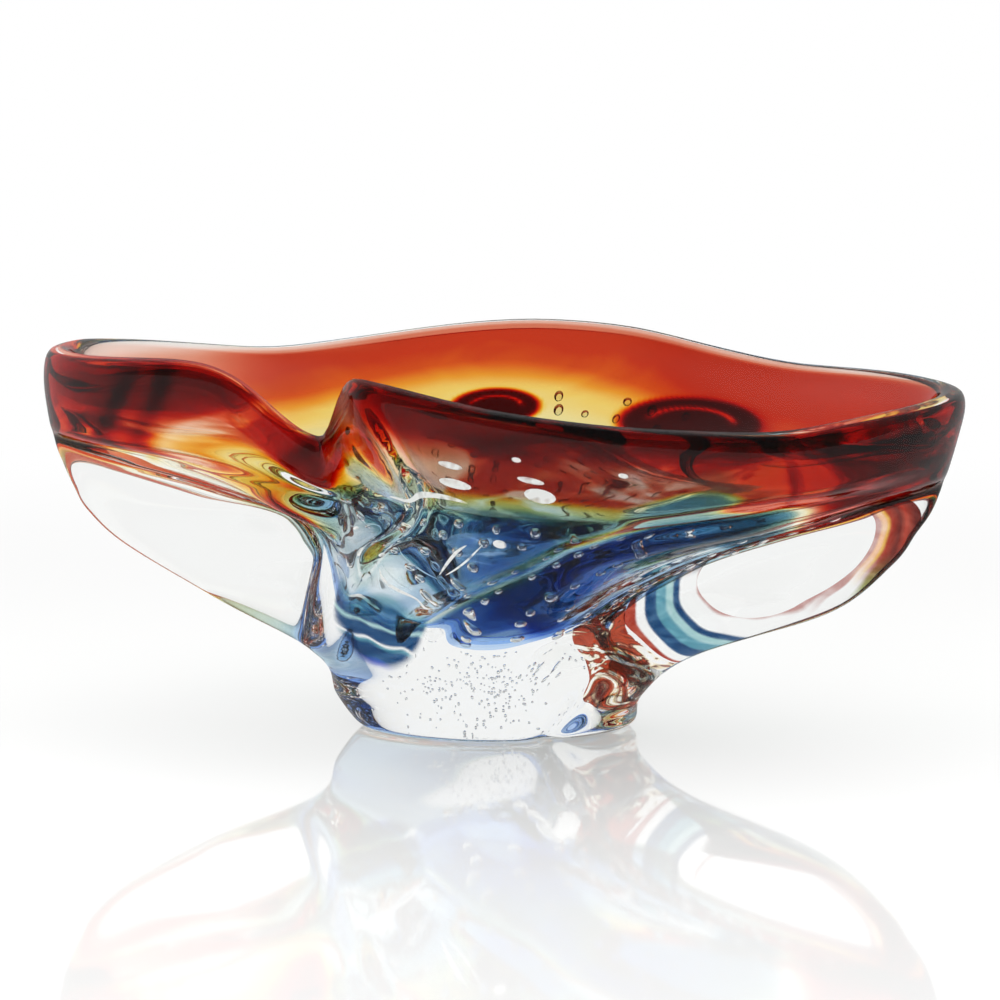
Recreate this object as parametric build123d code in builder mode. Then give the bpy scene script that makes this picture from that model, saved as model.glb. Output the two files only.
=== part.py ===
from build123d import *
import os

import numpy as np

# Hand-shaped cased glass bowl.  X runs to the right, Y away from the front, Z up (mm).
# The origin is the middle of the flat polished underside of the foot.

LINING = 1.6          # clear first gather, the skin of the hollow
COLOUR = 2.4          # coloured gather between the lining and the heavy clear casing
LEAN = 0.16           # how far the two side fins are twisted round the foot, per mm of x
FOLD_DEPTH = 30.0     # how far the front wall is pushed in at the fold
FOLD_DIP = 26.0       # how far the rim drops at the fold
FOLD_X = -58.0        # where the fold meets the rim, across the front
FOLD_TURN = 7.0       # how far the fold turns to the right on its way down
FOLD_SPAN = (42, 9)   # how far the pushed-in wall reaches to the left and right of the fold
DIP_SPAN = (26, 7)    # how far the dropped rim reaches to the left and right of the fold
RIDGE = 8.0           # height of the thick clear ridge that runs down from the fold
RIDGE_LOW = 0.35      # share of that height left in the ridge at the foot
RIDGE_WIDE = 7.0
BACK_SHIFT = 12.0     # how much further right the left fin meets the body at the back
VALLEY = 5.0          # depth of the dip that parts the foot from its right toe
VALLEY_X = 20.0       # where that dip starts at the foot
VALLEY_WIDE = 7.0
PINCH = 1.2           # how much the hollow narrows from a circle towards its two ends
POINTS = 150          # points on each ring
RING_STEP = 0.25      # spacing of the outside rings, as a share of a row of the list
FOOT_RINGS = 5        # the rows of the list that make the foot and the low fins

# Outside of the bowl, from the foot up.  Each ring is: height, reach to the left, right,
# front and back, half thickness of the left and right fins, bluntness of their ends, where
# the round body begins between the fins on the left and on the right, where the ridge is.
OUTSIDE = [
    (0.0, 43, 47, 32, 34, 20, 20, 1.00, -90, 92, -50),
    (2.5, 48, 52, 37, 38, 20, 20, 1.00, -84, 84, -50),
    (12.0, 55, 55, 43, 43, 20, 20, 1.00, -74, 66, -53),
    (26.0, 62, 73, 48, 47, 14, 19, 0.70, -66, 38, -56),
    (44.0, 99, 119, 54, 54, 11, 18, 0.45, -58, 27, -56),
    (62.0, 131, 141, 64, 64, 11, 18, 0.45, -53, 49, -49),
    (74.0, 145, 149, 74, 74, 12, 18, 0.45, -58, 76, -43),
    (82.0, 150, 154, 81, 81, 15, 19, 0.55, -79, 100, -33),
    (90.0, 154, 157, 86, 88, 19, 21, 0.70, -98, 124, -28),
    (98.0, 157, 159, 92, 94, 24, 25, 0.80, -128, 165, -29),
    (114.0, 160, 163, 100, 105, 32, 32, 1.00, -280, 280, -39),
    (124.0, 160, 165, 103, 109, 34, 34, 1.00, -300, 300, -45),
    (129.0, 158, 164, 102, 108, 34, 34, 1.00, -300, 300, -46),
]
CREST = (130.5, 154, 160, 98.5, 104.5, 33, 33, 1.00, -300, 300, -47)

# The hollow, from the crest down.  Each ring is: height, reach to the left, right, front
# and back, half width of the trough that runs out over the fins.
HOLLOW = [
    (130.5, 154, 160, 98.5, 104.5, 33),
    (129.0, 150, 156, 94, 101, 31),
    (122.0, 146, 152, 90, 98, 29),
    (110.0, 141, 147, 85, 93, 24),
    (98.0, 127, 132, 79, 86, 15),
    (86.0, 86, 107, 67, 74, 12),
    (72.0, 48, 76, 53, 58, 14),
    (58.0, 34, 42, 39, 43, 18),
    (47.0, 23, 22, 26, 29, 18),
    (40.0, 12, 11, 14, 15, 11),
    (38.0, 4, 4, 4, 4, 4),
]

# Rise and fall of the rim round the bowl: angle in degrees from the right tip, height.
RIM_WAVE = [
    (0, -6), (25, -6), (47, -7), (60, -2), (70, 4), (84, 6), (96, 3), (106, -1), (122, -6),
    (147, 0), (165, 3), (205, 4), (240, 8), (254, 4), (270, -6), (285, -11), (306, -14),
    (325, -9), (342, -7),
]

# Where one colour gives way to the next, as a place in the list of hollow rings, at eight
# directions round the bowl: right, right back, back, left back, left, left front, front,
# right front.
COLOUR_TOP = 0.8
DIRECTIONS = (0, 40, 90, 140, 180, 225, 275, 320)
BANDS = [
    ("ruby_band", (3.3, 3.5, 2.3, 2.9, 3.1, 3.2, 2.8, 3.0)),
    ("orange_band", (3.8, 4.2, 2.9, 3.5, 3.8, 3.8, 3.2, 3.4)),
    ("amber_band", (4.2, 4.8, 4.3, 4.7, 5.2, 5.0, 3.6, 3.8)),
    ("green_band", (5.2, 5.5, 5.3, 5.5, 6.0, 5.8, 4.4, 4.8)),
    ("teal_band", (7.0, 6.9, 6.8, 7.0, 7.3, 7.2, 6.9, 6.9)),
]
BOTTOM = len(HOLLOW) - 1.0


def ramp(low, high, x):
    """Smooth step from 0 at low to 1 at high."""
    t = np.clip((x - low) / (high - low), 0, 1)
    return t * t * (3 - 2 * t)


def edge(x):
    """Soft switch from 0 to 1 round x = 0."""
    return 1 / (1 + np.exp(-np.clip(x, -30, 30)))


def ring_size(rings, s):
    """The measures of a ring at position s in a list of rings, smoothly between the rings."""
    table = np.array(rings, float)
    last = len(table) - 1
    i = np.clip(np.floor(s).astype(int), 0, last - 1)
    t = (s - i)[..., None]
    a = table[np.maximum(i - 1, 0)]
    b = table[i]
    c = table[i + 1]
    d = table[np.minimum(i + 2, last)]
    cubic = -a + 3 * b - 3 * c + d
    row = b + 0.5 * (t * (c - a) + t**2 * (2 * a - 5 * b + 4 * c - d) + t**3 * cubic)
    return np.moveaxis(row, -1, 0)


def rim_wave(u):
    """Height of the rim above its mean at angle u."""
    angle = np.degrees(u) % 360
    total = np.zeros_like(angle)
    weight = np.zeros_like(angle)
    for step in range(-3, 4):
        w = np.exp(-(step / 2) ** 2)
        a, h = zip(*RIM_WAVE)
        total = total + w * np.interp(angle + 3 * step, a, h, period=360)
        weight = weight + w
    return total / weight


def shape(x, y, height, u):
    """Bend a plain ring into the hand-shaped form: waved rim, fold, twisted fins."""
    front = ramp(0, 0.45, -np.sin(u))
    z = height + rim_wave(u) * ramp(60, 126, height)
    centre = FOLD_X + FOLD_TURN * ramp(120, 88, height)
    fold = np.exp(-(((x - centre) / np.where(x < centre, *FOLD_SPAN)) ** 2))
    dip = np.exp(-(((x - centre) / np.where(x < centre, *DIP_SPAN)) ** 2))
    y = y + front * FOLD_DEPTH * ramp(66, 112, height) * fold
    z = z - front * FOLD_DIP * ramp(80, 122, height) * dip
    y = y - LEAN * x * ramp(15, 50, height)
    return x, y, z


def outside_ring(s, u):
    """Points on the outside of the glass, s from 0 at the foot to len(OUTSIDE) at the crest."""
    row = ring_size(OUTSIDE + [CREST], s)
    height, left, right, front, back, fin_left, fin_right, blunt = row[:8]
    body_left, body_right, ridge = row[8:]
    c = np.cos(u)
    fin = fin_left + (fin_right - fin_left) * ramp(-0.3, 0.3, c)
    side = np.abs(np.sin(u))
    x = np.where(c > 0, right * c, left * c)
    reach = np.where(np.sin(u) > 0, back, front)
    fin = np.minimum(fin, reach)
    soft_left = 4 + 9 * ramp(70, 86, height)
    soft_right = 8 + 6 * ramp(76, 90, height)
    shift = BACK_SHIFT * ramp(72, 56, height)
    body_left = np.where(np.sin(u) > 0, body_left + shift, body_left)
    body = edge((x - body_left) / soft_left) * edge((body_right - x) / soft_right)
    y = np.sign(np.sin(u)) * (fin * side**blunt + (reach - fin) * side * body)
    facing = ramp(0, 0.45, -np.sin(u)) * ramp(130, 112, height)
    bead = np.exp(-(((x - ridge) / RIDGE_WIDE) ** 2)) * ramp(10, 50, height)
    bead = bead * (RIDGE_LOW + (1 - RIDGE_LOW) * ramp(30, 70, height))
    valley_x = VALLEY_X + height - 0.012 * height**2
    valley = np.exp(-(((x - valley_x) / VALLEY_WIDE) ** 2)) * ramp(50, 32, height)
    y = y + facing * (VALLEY * valley - RIDGE * bead)
    return np.stack(shape(x, y, height, u), -1)


def plain_hollow(s, u):
    """The hollow before it is bent: x, y and height."""
    height, left, right, front, back, trough = ring_size(HOLLOW, s)
    c = np.cos(u)
    side = np.abs(np.sin(u))
    x = np.where(c > 0, right * c, left * c)
    reach = np.where(np.sin(u) > 0, back, front)
    pinch = 1 + PINCH * ramp(30, 60, height) * ramp(130, 112, height)
    y = np.sign(np.sin(u)) * (trough * side + (reach - trough) * side**pinch)
    return np.stack([x, y, height], -1)


def hollow_ring(s, u, depth=0.0):
    """Points at a depth in the glass behind the skin of the hollow."""
    point = plain_hollow(s, u)
    along = plain_hollow(s, u + 0.004) - plain_hollow(s, u - 0.004)
    down = plain_hollow(np.minimum(s + 0.02, BOTTOM), u) - plain_hollow(s - 0.02, u)
    normal = np.cross(down, along)
    normal = normal / np.linalg.norm(normal, axis=-1, keepdims=True)
    flat = ramp(BOTTOM - 0.7, BOTTOM, s)[..., None]
    normal = normal * (1 - flat) + np.array([0, 0, -1.0]) * flat
    moved = point + depth * normal
    x, y, z = shape(moved[..., 0], moved[..., 1], point[..., 2], u)
    return np.stack([x, y, z + moved[..., 2] - point[..., 2]], -1)


angles = np.linspace(0, 2 * np.pi, POINTS, endpoint=False)


def border(position):
    """Where a colour ends, at each point round the ring."""
    if position < 0:
        return np.full(POINTS, COLOUR_TOP)
    if position >= len(BANDS):
        return np.full(POINTS, BOTTOM)
    total = np.zeros(POINTS)
    weight = 0.0
    for step in range(-4, 5):
        w = np.exp(-(step / 2.5) ** 2)
        turned = np.degrees(angles) + 5 * step
        total = total + w * np.interp(turned, DIRECTIONS, BANDS[position][1], period=360)
        weight += w
    return total / weight


def spline_ring(points):
    """A closed smooth ring through the points."""
    knots = [i / len(points) for i in range(len(points) + 1)]
    edge_ring = Edge.make_spline([tuple(p) for p in points], periodic=True, parameters=knots)
    return Wire([edge_ring])


def strip(rings):
    """A smooth band of surface through the rings."""
    return Shell.make_loft([spline_ring(r) for r in rings], ruled=False).faces()


def annulus(ring_a, ring_b):
    """The narrow surface that joins two rings."""
    return Shell.make_loft([spline_ring(ring_a), spline_ring(ring_b)], ruled=True).faces()


def disc(ring):
    """The flat face inside a level ring."""
    return [Face(spline_ring(ring))]


def depth_strip(position, depth):
    """The surface at one depth between the two ends of a colour."""
    top = border(position - 1)
    low = border(position)
    count = max(3, int(np.ceil(2.5 * (low - top).max())) + 1)
    shares = np.linspace(0, 1, count)
    return strip([hollow_ring(top + (low - top) * k, angles, depth) for k in shares])


def closed(faces):
    """A solid inside a closed set of faces."""
    return Solid(Shell(faces))


def whole_strip(depth):
    """The surface at one depth, over all the colours."""
    faces = []
    for position in range(len(BANDS) + 1):
        faces += depth_strip(position, depth)
    return faces


def end_disc(depth):
    """The level end of that surface, at the bottom of the hollow."""
    return disc(hollow_ring(border(len(BANDS)), angles, depth))


def casing_faces():
    """Heavy clear outer glass: foot, fins, wall, crest and the lip above the colour."""
    crest = float(len(OUTSIDE))
    full = np.ones(POINTS)
    faces = disc(outside_ring(0 * full, angles))
    for low, high in ((0, FOOT_RINGS), (FOOT_RINGS, crest - 1)):
        places = np.arange(low, high + 0.01, RING_STEP)
        faces += strip([outside_ring(s * full, angles) for s in places])
    lip = [outside_ring(s * full, angles) for s in (crest - 1, crest - 0.5, crest)]
    lip += [hollow_ring(COLOUR_TOP * full, angles)]
    faces += strip(lip)
    top = border(-1)
    faces += annulus(hollow_ring(top, angles), hollow_ring(top, angles, LINING + COLOUR))
    faces += whole_strip(LINING + COLOUR) + end_disc(LINING + COLOUR)
    return faces


def lining_faces():
    """Clear skin of the hollow, the first gather blown into the bubble."""
    top = border(-1)
    faces = whole_strip(0) + end_disc(0)
    faces += whole_strip(LINING) + end_disc(LINING)
    return faces + annulus(hollow_ring(top, angles), hollow_ring(top, angles, LINING))


def band_faces(position):
    """One colour of the coloured gather, between the lining and the casing."""
    faces = depth_strip(position, LINING) + depth_strip(position, LINING + COLOUR)
    for end in (border(position - 1), border(position)):
        if end.min() < BOTTOM - 0.01:
            inner = hollow_ring(end, angles, LINING)
            outer = hollow_ring(end, angles, LINING + COLOUR)
            faces += annulus(inner, outer)
    if position == len(BANDS):
        faces += end_disc(LINING) + end_disc(LINING + COLOUR)
    return faces


os.makedirs("parts", exist_ok=True)

with BuildPart() as clear_casing:
    add(closed(casing_faces()))
clear_casing.part.label = "clear_casing"
export_step(clear_casing.part, "parts/clear_casing.step")

with BuildPart() as inner_lining:
    add(closed(lining_faces()))
inner_lining.part.label = "inner_lining"
export_step(inner_lining.part, "parts/inner_lining.step")

for place, colour_name in enumerate([band[0] for band in BANDS] + ["cobalt_cup"]):
    with BuildPart() as colour_piece:
        add(closed(band_faces(place)))
    colour_piece.part.label = colour_name
    export_step(colour_piece.part, f"parts/{colour_name}.step")
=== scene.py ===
import math

import bpy
import numpy as np
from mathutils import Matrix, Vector


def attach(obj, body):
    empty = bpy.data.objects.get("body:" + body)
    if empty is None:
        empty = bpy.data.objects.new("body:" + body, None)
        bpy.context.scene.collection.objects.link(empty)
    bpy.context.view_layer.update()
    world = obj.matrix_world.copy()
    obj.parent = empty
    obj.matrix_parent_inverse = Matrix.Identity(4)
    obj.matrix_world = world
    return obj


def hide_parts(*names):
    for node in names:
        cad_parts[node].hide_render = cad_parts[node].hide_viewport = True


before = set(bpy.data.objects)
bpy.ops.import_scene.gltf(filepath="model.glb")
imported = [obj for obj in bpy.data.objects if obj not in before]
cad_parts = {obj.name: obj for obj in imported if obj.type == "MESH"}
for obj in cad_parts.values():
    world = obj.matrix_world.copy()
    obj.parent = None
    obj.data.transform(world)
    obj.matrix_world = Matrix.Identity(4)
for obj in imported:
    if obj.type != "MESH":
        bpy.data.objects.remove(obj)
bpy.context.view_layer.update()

# All sizes are in mm; X runs to the right, Y away from the front, Z up from the foot.
MM = 0.001
LINING = 1.6          # clear skin of the hollow over the colour
COLOUR = 2.4          # thickness of the coloured layer
LEAN = 0.16           # how far the two side fins are twisted round the foot, per mm of x
FOLD_DEPTH = 30.0     # how far the front wall is pushed in at the fold
FOLD_DIP = 26.0       # how far the rim drops at the fold
FOLD_X = -58.0        # where the fold meets the rim, across the front
FOLD_TURN = 7.0       # how far the fold turns to the right on its way down
FOLD_SPAN = (42, 9)   # how far the pushed-in wall reaches to the left and right of the fold
DIP_SPAN = (26, 7)    # how far the dropped rim reaches to the left and right of the fold
RIDGE = 8.0           # height of the clear ridge that runs down from the fold
RIDGE_LOW = 0.35      # share of that height left in the ridge at the foot
RIDGE_WIDE = 6.0
BACK_SHIFT = 12.0     # how much further right the left fin meets the body at the back
VALLEY = 5.0          # depth of the dip that parts the foot from its right toe
VALLEY_X = 20.0       # where that dip starts at the foot
VALLEY_WIDE = 6.0
LAP_STEP = 5.0        # how far the upper wall stands out over the lower tube
LAP_GROOVE = 4.5      # depth of the groove under it
PINCH = 1.2           # how much the hollow narrows from a circle towards its two ends
AROUND = 480          # points on each ring of the glass
OUTSIDE_ROWS = 157    # rings on the outside
HOLLOW_ROWS = 131     # rings in the hollow
IOR = 1.5             # refractive index of the crystal
CRYSTAL = (0.962, 0.967, 0.962, 1)
OUTER_SHINE = 0.35    # share of the full reflection that the outside of the glass gives

# Outside of the bowl from the foot up: height, reach left, right, front, back, half
# thickness of the left and right fins, bluntness of their ends, where the round body
# begins on the left and on the right, where the ridge crosses the front.
OUTSIDE = [
    (0.0, 43, 47, 32, 34, 20, 20, 1.00, -90, 92, -50),
    (2.5, 48, 52, 37, 38, 20, 20, 1.00, -84, 84, -50),
    (12.0, 55, 55, 43, 43, 20, 20, 1.00, -74, 66, -53),
    (26.0, 62, 73, 48, 47, 14, 19, 0.70, -66, 38, -56),
    (44.0, 99, 119, 54, 54, 11, 18, 0.45, -58, 27, -56),
    (62.0, 131, 141, 64, 64, 11, 18, 0.45, -53, 49, -49),
    (74.0, 145, 149, 74, 74, 12, 18, 0.45, -58, 76, -43),
    (82.0, 150, 154, 81, 81, 15, 19, 0.55, -79, 100, -33),
    (90.0, 154, 157, 86, 88, 19, 21, 0.70, -98, 124, -28),
    (98.0, 157, 159, 92, 94, 24, 25, 0.80, -128, 165, -29),
    (114.0, 160, 163, 100, 105, 32, 32, 1.00, -280, 280, -39),
    (124.0, 160, 165, 103, 109, 34, 34, 1.00, -300, 300, -45),
    (129.0, 158, 164, 102, 108, 34, 34, 1.00, -300, 300, -46),
]
CREST = (130.5, 154, 160, 98.5, 104.5, 33, 33, 1.00, -300, 300, -47)
HOLLOW = [
    (130.5, 154, 160, 98.5, 104.5, 33),
    (129.0, 150, 156, 94, 101, 31),
    (122.0, 146, 152, 90, 98, 29),
    (110.0, 141, 147, 85, 93, 24),
    (98.0, 127, 132, 79, 86, 15),
    (86.0, 86, 107, 67, 74, 12),
    (72.0, 48, 76, 53, 58, 14),
    (58.0, 34, 42, 39, 43, 18),
    (47.0, 23, 22, 26, 29, 18),
    (40.0, 12, 11, 14, 15, 11),
    (38.0, 4, 4, 4, 4, 4),
]
RIM_WAVE = [
    (0, -6), (25, -6), (47, -7), (60, -2), (70, 4), (84, 6), (96, 3), (106, -1), (122, -6),
    (147, 0), (165, 3), (205, 4), (240, 8), (254, 4), (270, -6), (285, -11), (306, -14),
    (325, -9), (342, -7),
]

# Where one colour gives way to the next, as a place in the list of hollow rings, at eight
# directions round the bowl: right, right back, back, left back, left, left front, front,
# right front.
COLOUR_TOP = 0.15
DIRECTIONS = (0, 40, 90, 140, 180, 225, 275, 320)
BANDS = [
    ("ruby_band", (3.3, 3.5, 2.3, 2.9, 3.1, 3.2, 2.8, 3.0)),
    ("orange_band", (3.8, 4.2, 2.9, 3.5, 3.8, 3.8, 3.2, 3.4)),
    ("amber_band", (4.2, 4.8, 4.3, 4.7, 5.2, 5.0, 3.6, 3.8)),
    ("green_band", (5.2, 5.5, 5.3, 5.5, 6.0, 5.8, 4.4, 4.8)),
    ("teal_band", (7.0, 6.9, 6.8, 7.0, 7.3, 7.2, 6.9, 6.9)),
]
BOTTOM = len(HOLLOW) - 1.0
TOP = float(len(OUTSIDE))

# The turn where the upper wall laps over the lower tube, on the front: x and height.
LAP = [
    (-36, 27), (-28, 46), (-12, 57), (12, 69), (25, 79), (54, 91), (75, 97), (97, 102),
    (160, 106),
]

# Long flat bubbles in the front wall, their white shine a painted highlight: place across, height,
# half length, half height, mm.
HIGHLIT_BUBBLES = [
    (-13, 106.5, 4.2, 1.2), (-11, 100, 5.6, 1.7), (14, 102, 4.6, 1.1), (17, 96.5, 5.4, 2.6),
    (4, 79, 2.4, 1.8), (9, 109, 1.6, 0.8), (44, 104, 1.7, 0.7), (-38, 77, 2.0, 1.2),
]
PALE_DEEP = 0.9       # half thickness of such a bubble
BUBBLE_PITCH = 13.0   # distance between the round bubbles of a row
BUBBLE_DEPTH = 6.4    # how deep behind the skin of the hollow they lie
SEEDS = 300           # fine bubbles in the foot

# Painted highlight streaks, thin voids with a glowing skin that stand in for reflections along the
# folds: start, middle and end (across, height) and half thickness, mm.
HIGHLIGHT_THREADS = [
    ((-31, 95), (-18, 97), (-7, 93), 0.9),
    ((-45, 68), (-40, 58), (-33, 53), 0.5),
    ((-37, 71), (-32, 60), (-21, 56), 0.6),
    ((-16, 66), (-12, 75), (-7, 78), 0.6),
    ((-14, 66), (-8, 70), (-2, 78), 0.4),
]

# Colour of the front wall: the plain run of tones, and what each becomes there.
FRONT_TONES = ((0, 2.6, 3.0, 3.4, 6), (0, 0.9, 2.2, 3.4, 6))
ORANGE_TONE = 1.5
YELLOW_TONE = 2.3
# TEAL_TONE is the tone of the tube's crest, kept thin and pale there as a painted highlight
TEAL_TONE = 3.9
# Drops of dark glass in the back wall: place across, height, half length, half height.
DARK_DROPS = [(2, 103.5, 16, 6), (74, 101, 25, 8.5)]
LOBE_OVAL = (-84, 110)     # middle of the red oval in the left lobe, across and height
LOBE_BARS = (-124, -113)   # the two dark bars behind its lip, across
TUBE_WIDTH = 24.0          # width of the tube under the lap


def ramp(low, high, x):
    """Smooth step from 0 at low to 1 at high."""
    t = np.clip((x - low) / (high - low), 0, 1)
    return t * t * (3 - 2 * t)


def edge(x):
    """Soft switch from 0 to 1 round x = 0."""
    return 1 / (1 + np.exp(-np.clip(x, -30, 30)))


def stripe(x, x0, wide):
    """A soft line mask along x = x0."""
    return np.exp(-(((x - x0) / wide) ** 2))


def ring_size(rings, s):
    """The measures of a ring at position s in a list of rings, smoothly between the rings."""
    table = np.array(rings, float)
    last = len(table) - 1
    i = np.clip(np.floor(s).astype(int), 0, last - 1)
    t = (s - i)[..., None]
    a = table[np.maximum(i - 1, 0)]
    b = table[i]
    c = table[i + 1]
    d = table[np.minimum(i + 2, last)]
    cubic = -a + 3 * b - 3 * c + d
    row = b + 0.5 * (t * (c - a) + t**2 * (2 * a - 5 * b + 4 * c - d) + t**3 * cubic)
    return np.moveaxis(row, -1, 0)


def rim_wave(u):
    """Height of the rim above its mean at angle u."""
    angle = np.degrees(u) % 360
    total = np.zeros_like(angle)
    weight = np.zeros_like(angle)
    for step in range(-3, 4):
        w = np.exp(-(step / 2) ** 2)
        a, h = zip(*RIM_WAVE)
        total = total + w * np.interp(angle + 3 * step, a, h, period=360)
        weight = weight + w
    return total / weight


def shape(x, y, height, u):
    """Bend a plain ring into the hand-shaped form: waved rim, fold, twisted fins."""
    front = ramp(0, 0.45, -np.sin(u))
    z = height + rim_wave(u) * ramp(60, 126, height)
    centre = FOLD_X + FOLD_TURN * ramp(120, 88, height)
    fold = np.exp(-(((x - centre) / np.where(x < centre, *FOLD_SPAN)) ** 2))
    dip = np.exp(-(((x - centre) / np.where(x < centre, *DIP_SPAN)) ** 2))
    y = y + front * FOLD_DEPTH * ramp(66, 112, height) * fold
    z = z - front * FOLD_DIP * ramp(80, 122, height) * dip
    y = y - LEAN * x * ramp(15, 50, height)
    return x, y, z


def lap_place(x, z):
    """Distance above the lap line, and the share of the way along it."""
    line = np.array(LAP, float)
    best = np.full(x.shape, 1e9)
    above = np.ones(x.shape)
    along = np.zeros(x.shape)
    runs = np.hypot(*(line[1:] - line[:-1]).T)
    start = np.concatenate([[0], np.cumsum(runs)])
    for i, (a, b) in enumerate(zip(line[:-1], line[1:])):
        d = b - a
        t = np.clip(((x - a[0]) * d[0] + (z - a[1]) * d[1]) / (d @ d), 0, 1)
        away = np.hypot(x - a[0] - t * d[0], z - a[1] - t * d[1])
        side = np.sign(d[0] * (z - a[1]) - d[1] * (x - a[0]))
        near = away < best
        best = np.where(near, away, best)
        above = np.where(near, side, above)
        along = np.where(near, start[i] + t * runs[i], along)
    return best * above, along / start[-1]


def outside_ring(s, u):
    """Points on the outside of the glass, s from 0 at the foot to TOP at the crest."""
    row = ring_size(OUTSIDE + [CREST], s)
    height, left, right, front, back, fin_left, fin_right, blunt, body_left, body_right, ridge = row
    c = np.cos(u)
    fin = fin_left + (fin_right - fin_left) * ramp(-0.3, 0.3, c)
    side = np.abs(np.sin(u))
    x = np.where(c > 0, right * c, left * c)
    reach = np.where(np.sin(u) > 0, back, front)
    fin = np.minimum(fin, reach)
    behind = np.sin(u) > 0
    soft_left = np.where(behind, 5, 3) + 5 * ramp(78, 98, height)
    body_left = np.where(behind, body_left + BACK_SHIFT * ramp(72, 56, height), body_left)
    body = edge((x - body_left) / soft_left) * edge((body_right - x) / 8)
    y = np.sign(np.sin(u)) * (fin * side**blunt + (reach - fin) * side * body)
    facing = ramp(0, 0.45, -np.sin(u)) * ramp(130, 112, height)
    bead = stripe(x, ridge, RIDGE_WIDE) * ramp(10, 50, height)
    y = y - RIDGE * bead * facing * (RIDGE_LOW + (1 - RIDGE_LOW) * ramp(30, 70, height))
    valley_x = VALLEY_X + height - 0.012 * height**2
    y = y + VALLEY * stripe(x, valley_x, VALLEY_WIDE) * ramp(50, 32, height) * facing
    off, along = lap_place(x, height)
    ends = ramp(0.0, 0.12, along) * ramp(1.0, 0.85, along)
    lap = LAP_STEP * edge(off / 1.6) * np.exp(-np.maximum(off, 0) / 28)
    y = y - (lap - LAP_GROOVE * stripe(off, -5, 5)) * ends * facing
    return np.stack(shape(x, y, height, u), -1)


def plain_hollow(s, u):
    """The hollow before it is bent: x, y and height."""
    height, left, right, front, back, trough = ring_size(HOLLOW, s)
    c = np.cos(u)
    side = np.abs(np.sin(u))
    x = np.where(c > 0, right * c, left * c)
    reach = np.where(np.sin(u) > 0, back, front)
    pinch = 1 + PINCH * ramp(30, 60, height) * ramp(130, 112, height)
    y = np.sign(np.sin(u)) * (trough * side + (reach - trough) * side**pinch)
    return np.stack([x, y, height], -1)


def hollow_ring(s, u, depth=0.0):
    """Points at a depth in the glass behind the skin of the hollow."""
    point = plain_hollow(s, u)
    along = plain_hollow(s, u + 0.004) - plain_hollow(s, u - 0.004)
    down = plain_hollow(np.minimum(s + 0.02, BOTTOM), u) - plain_hollow(s - 0.02, u)
    normal = np.cross(down, along)
    normal = normal / np.linalg.norm(normal, axis=-1, keepdims=True)
    flat = ramp(BOTTOM - 0.7, BOTTOM, s)[..., None]
    normal = normal * (1 - flat) + np.array([0, 0, -1.0]) * flat
    moved = point + depth * normal
    x, y, z = shape(moved[..., 0], moved[..., 1], point[..., 2], u)
    return np.stack([x, y, z + moved[..., 2] - point[..., 2]], -1)


# ---------------------------------------------------------------- materials


def new_material(name):
    """An empty material with its nodes and links."""
    material = bpy.data.materials.new(name)
    material.use_nodes = True
    material.node_tree.nodes.clear()
    return material, material.node_tree.nodes, material.node_tree.links


def node(nodes, kind, **inputs):
    """A node with some of its inputs set by name."""
    made = nodes.new(kind)
    for key, value in inputs.items():
        made.inputs[key.replace("_", " ")].default_value = value
    return made


def math_node(nodes, links, operation, a, b, c=None):
    """A maths node; each input is a number or an output of another node."""
    made = nodes.new("ShaderNodeMath")
    made.operation = operation
    for i, value in enumerate((a, b, c)):
        if value is None:
            continue
        if isinstance(value, (int, float)):
            made.inputs[i].default_value = value
        else:
            links.new(value, made.inputs[i])
    return made.outputs[0]


def clear_glass():
    """Clear crystal with faint flow in its polished skin, in dark surroundings.

    The dark surroundings are stood in for by a weaker reflection on the outside."""
    material, nodes, links = new_material("clear_crystal")
    out = nodes.new("ShaderNodeOutputMaterial")
    bent = node(nodes, "ShaderNodeBsdfRefraction", Roughness=0.0, IOR=IOR, Color=CRYSTAL)
    shine = node(nodes, "ShaderNodeBsdfGlossy", Roughness=0.0, Color=(1, 1, 1, 1))
    fresnel = node(nodes, "ShaderNodeFresnel", IOR=IOR)
    side = nodes.new("ShaderNodeNewGeometry")
    share = nodes.new("ShaderNodeMapRange")
    share.inputs["To Min"].default_value = OUTER_SHINE
    links.new(side.outputs["Backfacing"], share.inputs["Value"])
    part = math_node(nodes, links, "MULTIPLY", fresnel.outputs[0], share.outputs[0])
    glass = nodes.new("ShaderNodeMixShader")
    links.new(part, glass.inputs[0])
    links.new(bent.outputs[0], glass.inputs[1])
    links.new(shine.outputs[0], glass.inputs[2])
    place = nodes.new("ShaderNodeTexCoord")
    flow = node(nodes, "ShaderNodeTexNoise", Scale=38.0, Detail=2.0)
    links.new(place.outputs["Object"], flow.inputs["Vector"])
    bump = node(nodes, "ShaderNodeBump", Strength=0.12, Distance=0.0006)
    links.new(flow.outputs["Fac"], bump.inputs["Height"])
    for shader in (bent, shine, fresnel):
        links.new(bump.outputs["Normal"], shader.inputs["Normal"])
    see_through = node(nodes, "ShaderNodeBsdfTransparent", Color=(0.97, 0.98, 0.975, 1))
    path = nodes.new("ShaderNodeLightPath")
    mix = nodes.new("ShaderNodeMixShader")
    links.new(path.outputs["Is Shadow Ray"], mix.inputs[0])
    links.new(glass.outputs[0], mix.inputs[1])
    links.new(see_through.outputs[0], mix.inputs[2])
    links.new(mix.outputs[0], out.inputs[0])
    return material


LAST_TONE = 6.0
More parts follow.
